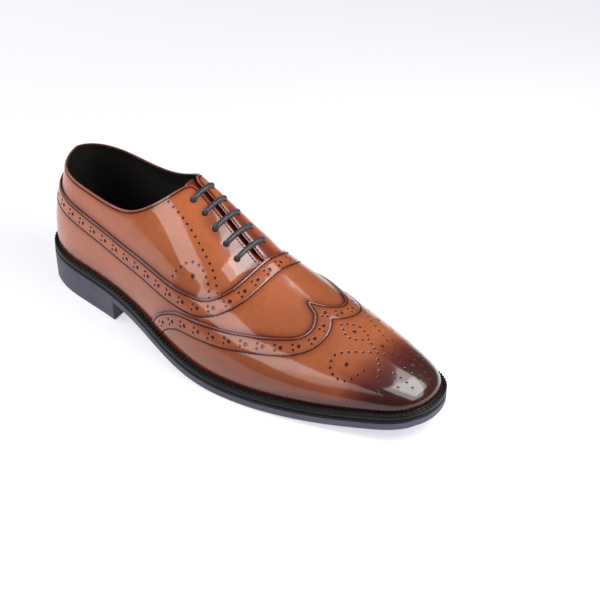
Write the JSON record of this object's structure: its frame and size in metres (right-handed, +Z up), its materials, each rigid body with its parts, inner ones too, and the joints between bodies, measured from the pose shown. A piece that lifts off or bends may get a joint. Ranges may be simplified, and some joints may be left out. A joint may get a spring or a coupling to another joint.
{
  "type": "brogue shoe",
  "caption": "Full-brogue lace-up dress shoe for the right foot: hollow leather upper with wing cap, open collar and throat, welt, leather sole and stacked heel.",
  "frame": {"origin": "middle of the bottom of the shoe's box: on the floor, under the middle of its length and width", "axes": "+X from the heel to the toe, +Y to the wearer's left, which is the inner side of this right shoe, +Z up"},
  "size_m": [0.3056, 0.1082, 0.1053],
  "materials": {
    "leather": "high-gloss tan calf with a darker burnished toe",
    "sole": "matt grey-black stained leather",
    "welt": "black, stitched",
    "lining": "matt black lining leather",
    "cord": "dark grey waxed round cord"
  },
  "bodies": {
    "root": {"outsole": "sole", "heel_block": "sole", "welt": "welt", "insole": "lining", "upper": "leather", "vamp_and_lower_quarters": "leather", "wing_cap": "leather", "tongue": "leather", "lace": "cord"}
  },
  "joints": []
}
